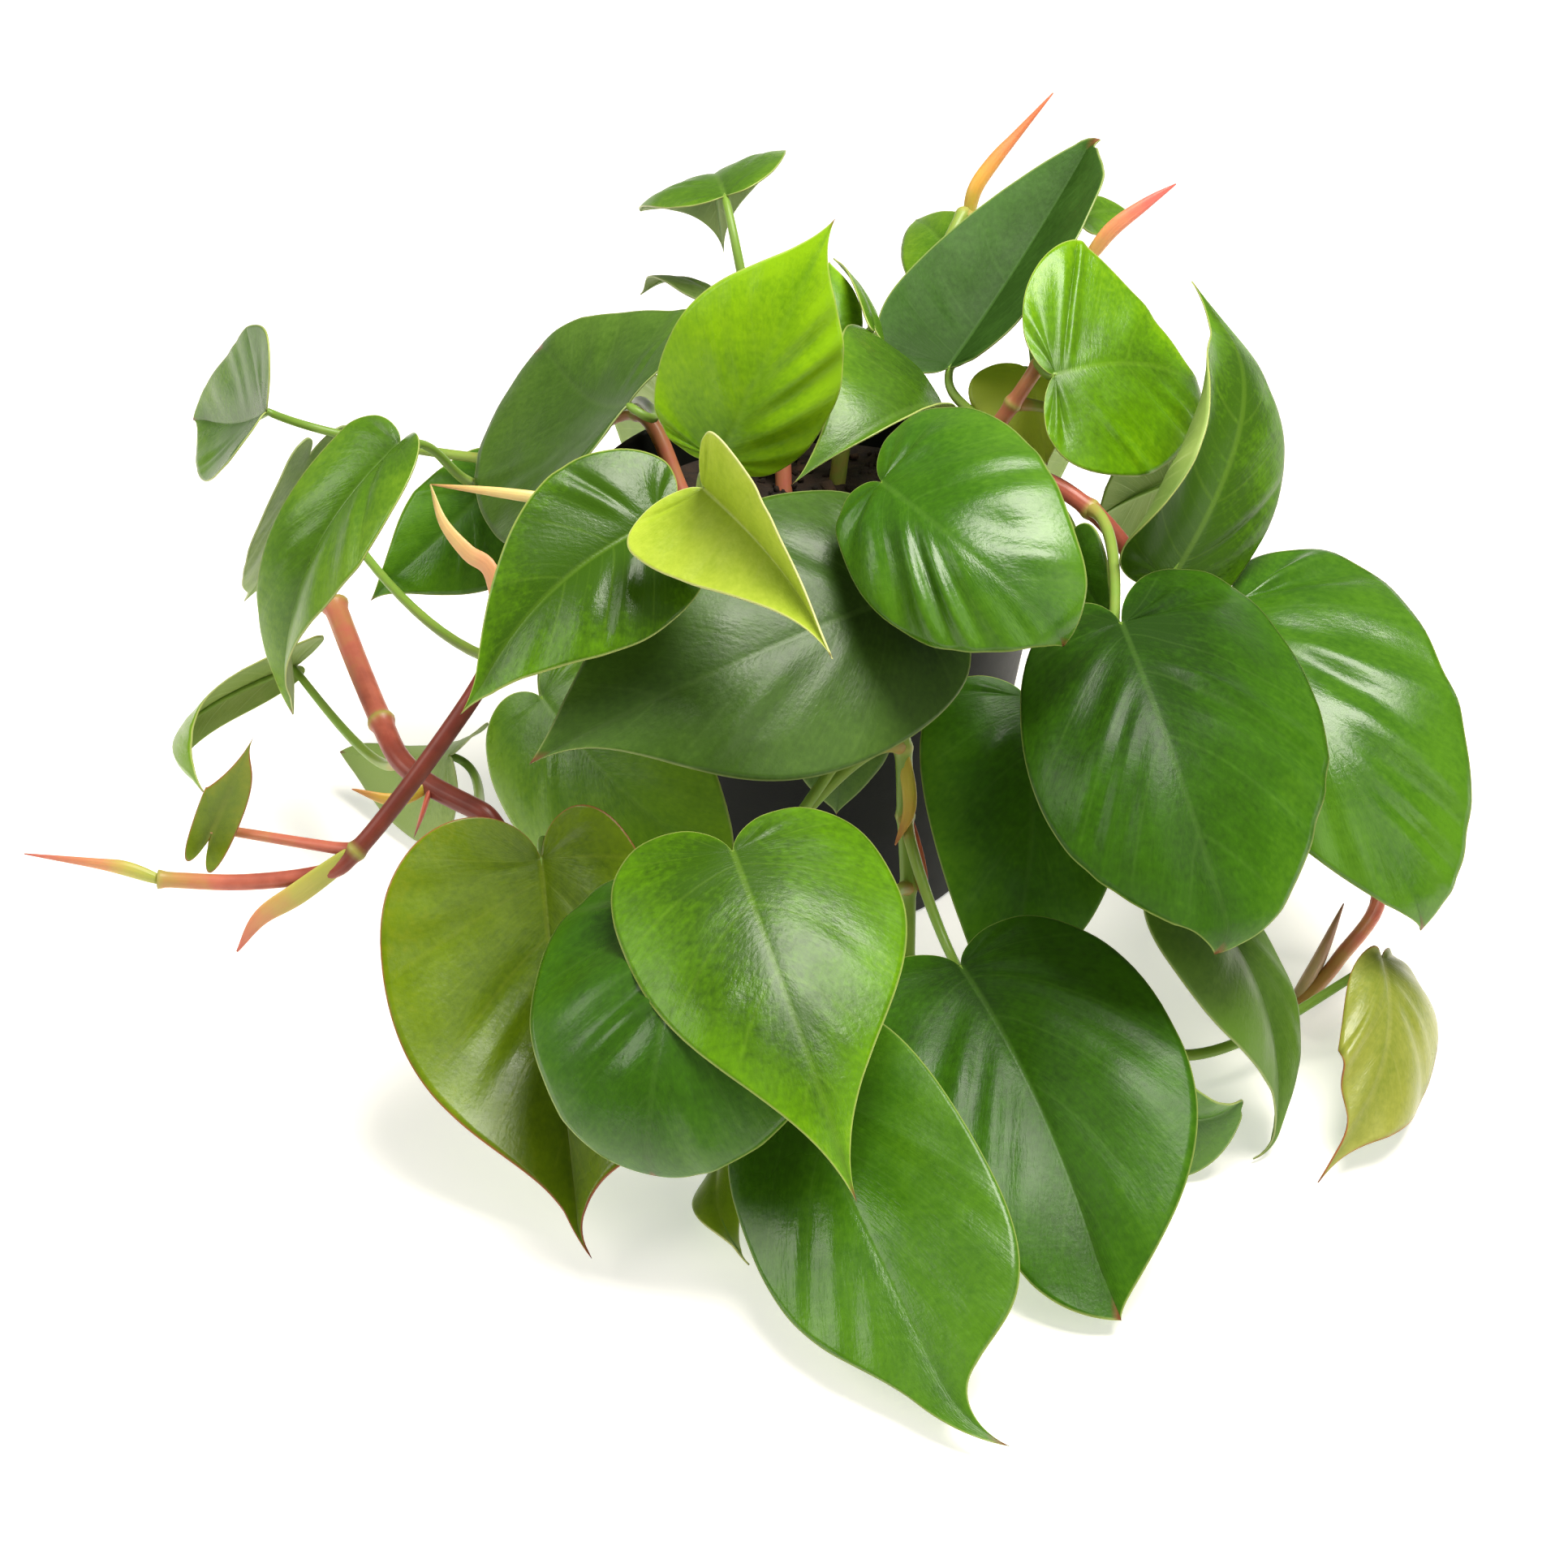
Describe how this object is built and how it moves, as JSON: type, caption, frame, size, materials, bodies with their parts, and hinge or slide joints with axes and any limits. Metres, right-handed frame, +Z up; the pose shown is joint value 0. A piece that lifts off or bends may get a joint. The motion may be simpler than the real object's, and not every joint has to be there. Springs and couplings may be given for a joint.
{
  "type": "potted heartleaf philodendron",
  "caption": "Heartleaf philodendron with trailing red-brown stems and glossy heart-shaped green leaves, in a round tapered anthracite plastic nursery pot.",
  "frame": {"origin": "centre of the pot's flat foot, on the surface that the pot stands on", "axes": "+Z up along the pot's axis; -Y towards the side that the plant is seen from and that its upper leaf faces turn to; +X to the right from there"},
  "size_m": [0.4045, 0.4182, 0.2116],
  "materials": {
    "pot": "matt, finely grained black-grey",
    "soil": "rough, crumbly peat and bark",
    "vine": "satin, smooth green-red stem",
    "leaf_grey": "matt underside of a leaf",
    "leaf_mid": "satin, waxy leaf skin",
    "leaf_dark": "glossy, waxy leaf skin",
    "leaf_dull": "semi-matt, waxy leaf skin",
    "leaf_bright": "satin, waxy leaf skin",
    "leaf_lime": "satin, waxy skin of a new leaf",
    "leaf_olive": "satin, waxy skin of an olive leaf",
    "leaf_yellow": "satin skin of a yellowing leaf"
  },
  "bodies": {
    "root": {"pot": "pot", "soil": "soil", "vine_left_low": "vine", "vine_left_front": "vine", "vine_left_back": "vine", "vine_top": "vine", "vine_right_top": "vine", "vine_right": "vine", "vine_right_front": "vine", "vine_front": "vine", "vine_front_left": "vine", "vine_back": "vine", "leaf_left_far": "leaf_grey", "leaf_left_tall": "leaf_mid", "leaf_left_shade": "leaf_grey", "leaf_left_dark": "leaf_dark", "leaf_back_left_big": "leaf_dull", "leaf_top_bright": "leaf_bright", "leaf_centre_left": "leaf_bright", "leaf_new_lime": "leaf_lime", "leaf_top_arched": "leaf_mid", "leaf_mid_round": "leaf_dark", "leaf_top_dark": "leaf_dull", "leaf_right_big": "leaf_dark", "leaf_right_outer": "leaf_dark", "leaf_right_folded": "leaf_bright", "leaf_right_top": "leaf_bright", "leaf_centre_big": "leaf_dull", "leaf_left_lower": "leaf_mid", "leaf_olive_front": "leaf_olive", "leaf_front_dark": "leaf_dark", "leaf_front_heart": "leaf_bright", "leaf_hang_dark": "leaf_dull", "leaf_front_right": "leaf_dark", "leaf_front_low": "leaf_dark", "leaf_right_low": "leaf_dull", "leaf_right_yellow": "leaf_yellow", "leaf_left_low_far": "leaf_grey", "leaf_top_edge_on": "leaf_mid", "leaf_top_sliver": "leaf_grey", "leaf_behind_bright": "leaf_bright", "leaf_behind_bright_low": "leaf_mid", "leaf_back_pale": "leaf_mid", "leaf_back_top_small": "leaf_mid", "leaf_yellow_inner": "leaf_lime", "leaf_brown_under": "leaf_dull", "leaf_striped_inner": "leaf_dark", "leaf_inner_hang": "leaf_dull", "leaf_left_behind_big": "leaf_dark", "leaf_twisted_tip": "leaf_mid", "leaf_right_low_curl": "leaf_dark", "leaf_left_pale": "leaf_grey", "leaf_left_curled": "leaf_olive", "leaf_back_high": "leaf_mid", "leaf_back_left": "leaf_dark", "leaf_back_right": "leaf_dark", "leaf_back_low": "leaf_mid"}
  },
  "joints": []
}
